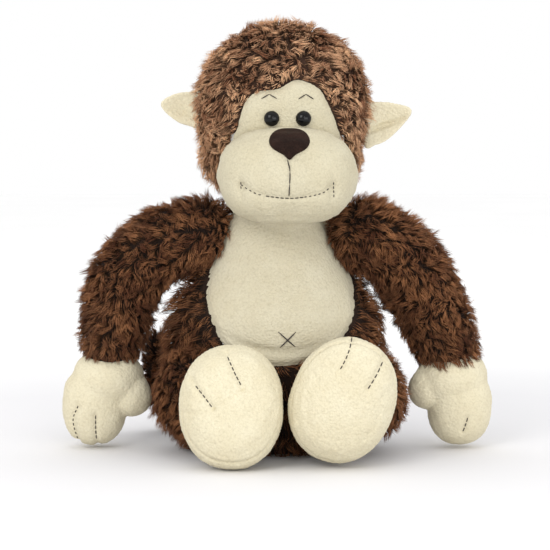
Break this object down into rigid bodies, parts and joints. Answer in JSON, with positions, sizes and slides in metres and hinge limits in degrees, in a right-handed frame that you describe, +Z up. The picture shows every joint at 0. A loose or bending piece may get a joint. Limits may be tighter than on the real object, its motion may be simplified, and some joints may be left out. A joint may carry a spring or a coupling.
{
  "type": "stuffed monkey",
  "caption": "Seated plush monkey with a broad pale muzzle, round soled feet, mitten hands and a curled tail, whose head and limbs flex at their sewn seams.",
  "frame": {"origin": "centre of the flat seat underside that it rests on", "axes": "+Z up, -Y is where the face looks, +X is the toy's own left"},
  "size_m": [0.348, 0.2401, 0.3415],
  "materials": {
    "body_fur": "long tousled dark brown plush",
    "head_fur": "long tousled milk brown plush",
    "cream_terry": "looped terry fleece",
    "nose_velboa": "short smooth pile",
    "thread": "stranded embroidery thread",
    "eye_plastic": "polished",
    "washer_plastic": "moulded",
    "fibre_fill": "loose polyester fibre",
    "pouch_cloth": "woven lining",
    "pellets": "loose beads"
  },
  "bodies": {
    "torso": {"torso_shell": "body_fur", "belly_panel": "cream_terry", "torso_stuffing": "fibre_fill", "pellet_pouch": "pouch_cloth", "pellets": "pellets", "navel_stitch": "thread", "back_seam_stitches": "thread"},
    "neck": {"neck_stuffing": "fibre_fill"},
    "head": {"head_shell": "head_fur", "face_panel": "cream_terry", "muzzle_panel": "cream_terry", "head_stuffing": "fibre_fill", "muzzle_stuffing": "fibre_fill", "nose_cover": "nose_velboa", "nose_wadding": "fibre_fill", "eye_left": "eye_plastic", "eye_right": "eye_plastic", "eye_washer_left": "washer_plastic", "eye_washer_right": "washer_plastic", "brow_stitches": "thread", "mouth_stitch": "thread"},
    "ear_left": {"ear_front_left": "cream_terry", "ear_back_left": "cream_terry"},
    "shoulder_left": {"shoulder_stuffing_left": "fibre_fill"},
    "arm_left": {"arm_shell_left": "body_fur", "arm_stuffing_left": "fibre_fill"},
    "hand_left": {"hand_shell_left": "cream_terry", "hand_stuffing_left": "fibre_fill", "finger_stitches_left": "thread"},
    "hip_left": {"hip_stuffing_left": "fibre_fill"},
    "leg_left": {"leg_shell_left": "body_fur", "leg_stuffing_left": "fibre_fill"},
    "foot_left": {"foot_upper_left": "cream_terry", "foot_sole_left": "cream_terry", "foot_stuffing_left": "fibre_fill", "toe_stitches_left": "thread"},
    "ear_right": {"ear_front_right": "cream_terry", "ear_back_right": "cream_terry"},
    "shoulder_right": {"shoulder_stuffing_right": "fibre_fill"},
    "arm_right": {"arm_shell_right": "body_fur", "arm_stuffing_right": "fibre_fill"},
    "hand_right": {"hand_shell_right": "cream_terry", "hand_stuffing_right": "fibre_fill", "finger_stitches_right": "thread"},
    "hip_right": {"hip_stuffing_right": "fibre_fill"},
    "leg_right": {"leg_shell_right": "body_fur", "leg_stuffing_right": "fibre_fill"},
    "foot_right": {"foot_upper_right": "cream_terry", "foot_sole_right": "cream_terry", "foot_stuffing_right": "fibre_fill", "toe_stitches_right": "thread"},
    "tail": {"tail_shell": "body_fur", "tail_stuffing": "fibre_fill"}
  },
  "joints": [
    {"name": "head_turn", "type": "hinge", "parent": "torso", "child": "neck", "pos_m": [-0.002, -0.002, 0.196], "axis": [0, 0, 1], "range_deg": [-20, 20]},
    {"name": "head_nod", "type": "hinge", "parent": "neck", "child": "head", "pos_m": [-0.002, -0.002, 0.196], "axis": [1, 0, 0], "range_deg": [-16, 10]},
    {"name": "ear_fold_left", "type": "hinge", "parent": "head", "child": "ear_left", "pos_m": [0.0685, -0.006, 0.265], "axis": [0, 0, -1], "range_deg": [-30, 30], "stiffness_Nm_per_rad": 0.02},
    {"name": "arm_swing_left", "type": "hinge", "parent": "torso", "child": "shoulder_left", "pos_m": [0.064, 0, 0.171], "axis": [-1, 0, 0], "range_deg": [-8, 70]},
    {"name": "arm_raise_left", "type": "hinge", "parent": "shoulder_left", "child": "arm_left", "pos_m": [0.064, 0, 0.171], "axis": [0, -1, 0], "range_deg": [0, 70]},
    {"name": "wrist_flex_left", "type": "hinge", "parent": "arm_left", "child": "hand_left", "pos_m": [0.135, 0, 0.068], "axis": [-1, 0, 0], "range_deg": [-27, 27]},
    {"name": "leg_splay_left", "type": "hinge", "parent": "torso", "child": "hip_left", "pos_m": [0.056, -0.038, 0.048], "axis": [0, 0, 1], "range_deg": [0, 20]},
    {"name": "leg_raise_left", "type": "hinge", "parent": "hip_left", "child": "leg_left", "pos_m": [0.056, -0.038, 0.048], "axis": [-1, 0, 0], "range_deg": [-10, 25]},
    {"name": "ankle_flex_left", "type": "hinge", "parent": "leg_left", "child": "foot_left", "pos_m": [0.044, -0.072, 0.046], "axis": [1, 0, 0], "range_deg": [-20, 20]},
    {"name": "ear_fold_right", "type": "hinge", "parent": "head", "child": "ear_right", "pos_m": [-0.0725, -0.006, 0.273], "axis": [0, 0, 1], "range_deg": [-30, 30], "stiffness_Nm_per_rad": 0.02},
    {"name": "arm_swing_right", "type": "hinge", "parent": "torso", "child": "shoulder_right", "pos_m": [-0.07, 0, 0.171], "axis": [-1, 0, 0], "range_deg": [-8, 70]},
    {"name": "arm_raise_right", "type": "hinge", "parent": "shoulder_right", "child": "arm_right", "pos_m": [-0.07, 0, 0.171], "axis": [0, 1, 0], "range_deg": [0, 70]},
    {"name": "wrist_flex_right", "type": "hinge", "parent": "arm_right", "child": "hand_right", "pos_m": [-0.143, 0, 0.068], "axis": [-1, 0, 0], "range_deg": [-27, 27]},
    {"name": "leg_splay_right", "type": "hinge", "parent": "torso", "child": "hip_right", "pos_m": [-0.064, -0.038, 0.048], "axis": [0, 0, -1], "range_deg": [0, 20]},
    {"name": "leg_raise_right", "type": "hinge", "parent": "hip_right", "child": "leg_right", "pos_m": [-0.064, -0.038, 0.048], "axis": [-1, 0, 0], "range_deg": [-10, 25]},
    {"name": "ankle_flex_right", "type": "hinge", "parent": "leg_right", "child": "foot_right", "pos_m": [-0.045, -0.072, 0.044], "axis": [1, 0, 0], "range_deg": [-20, 20]},
    {"name": "tail_swing", "type": "hinge", "parent": "torso", "child": "tail", "pos_m": [-0.004, 0.058, 0.027], "axis": [0, 0, -1], "range_deg": [-3, 25]}
  ]
}
